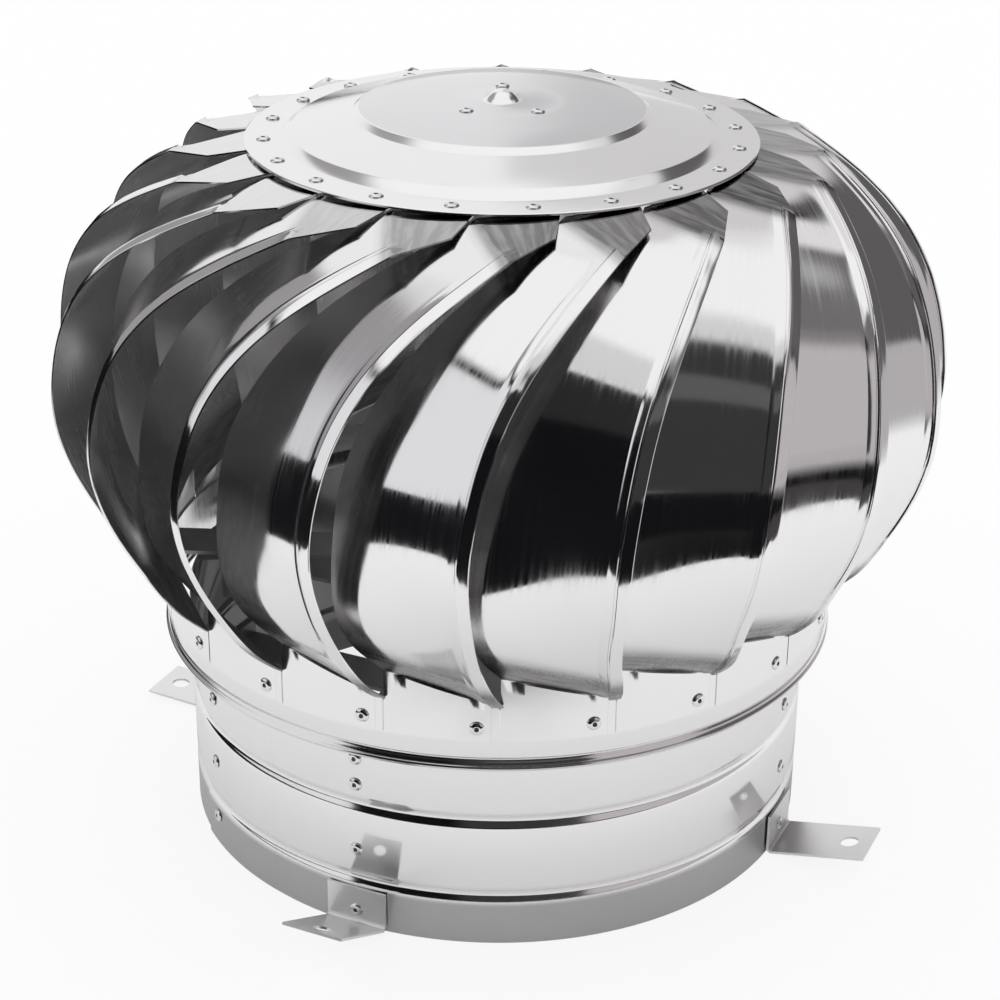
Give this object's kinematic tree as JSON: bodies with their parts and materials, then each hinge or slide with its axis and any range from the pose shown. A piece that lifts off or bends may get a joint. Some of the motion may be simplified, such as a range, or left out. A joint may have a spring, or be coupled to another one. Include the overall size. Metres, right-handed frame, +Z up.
{
  "type": "roof turbine ventilator",
  "caption": "Wind-driven roof ventilator: a bladed sheet-steel head under a pressed plate, turning on a round neck with riveted fixing feet.",
  "frame": {"origin": "on the turbine's axis, level with the neck's bottom edge", "axes": "+Z up along the axis of rotation, -Y towards the front, +X to the right seen from the front"},
  "size_m": [0.4164, 0.4164, 0.3534],
  "materials": {
    "polished_sheet": "mirror-polished stainless sheet",
    "neck_sheet": "polished stainless sheet, satin at the foot",
    "plate_sheet": "satin stainless sheet",
    "foot_steel": "satin stainless strip",
    "strap_steel": "plain strip",
    "shaft_steel": "turned bright steel",
    "bearing_steel": "ground bearing steel with seals"
  },
  "bodies": {
    "base": {"neck": "neck_sheet", "foot_1": "foot_steel", "foot_2": "foot_steel", "foot_3": "foot_steel", "foot_4": "foot_steel", "lower_brace": "strap_steel", "upper_brace": "strap_steel", "shaft": "shaft_steel", "shaft_nuts": "shaft_steel"},
    "rotor": {"bearings": "bearing_steel", "bearing_cup": "strap_steel", "rotor_brace": "strap_steel", "rotor_ring": "polished_sheet", "top_plate": "plate_sheet", "blade_01": "polished_sheet", "blade_02": "polished_sheet", "blade_03": "polished_sheet", "blade_04": "polished_sheet", "blade_05": "polished_sheet", "blade_06": "polished_sheet", "blade_07": "polished_sheet", "blade_08": "polished_sheet", "blade_09": "polished_sheet", "blade_10": "polished_sheet", "blade_11": "polished_sheet", "blade_12": "polished_sheet", "blade_13": "polished_sheet", "blade_14": "polished_sheet", "blade_15": "polished_sheet", "blade_16": "polished_sheet", "blade_17": "polished_sheet", "blade_18": "polished_sheet", "blade_19": "polished_sheet", "blade_20": "polished_sheet"}
  },
  "joints": [
    {"name": "rotor_spin", "type": "hinge", "parent": "base", "child": "rotor", "pos_m": [0, 0, 0], "axis": [0, 0, 1], "continuous": true}
  ]
}
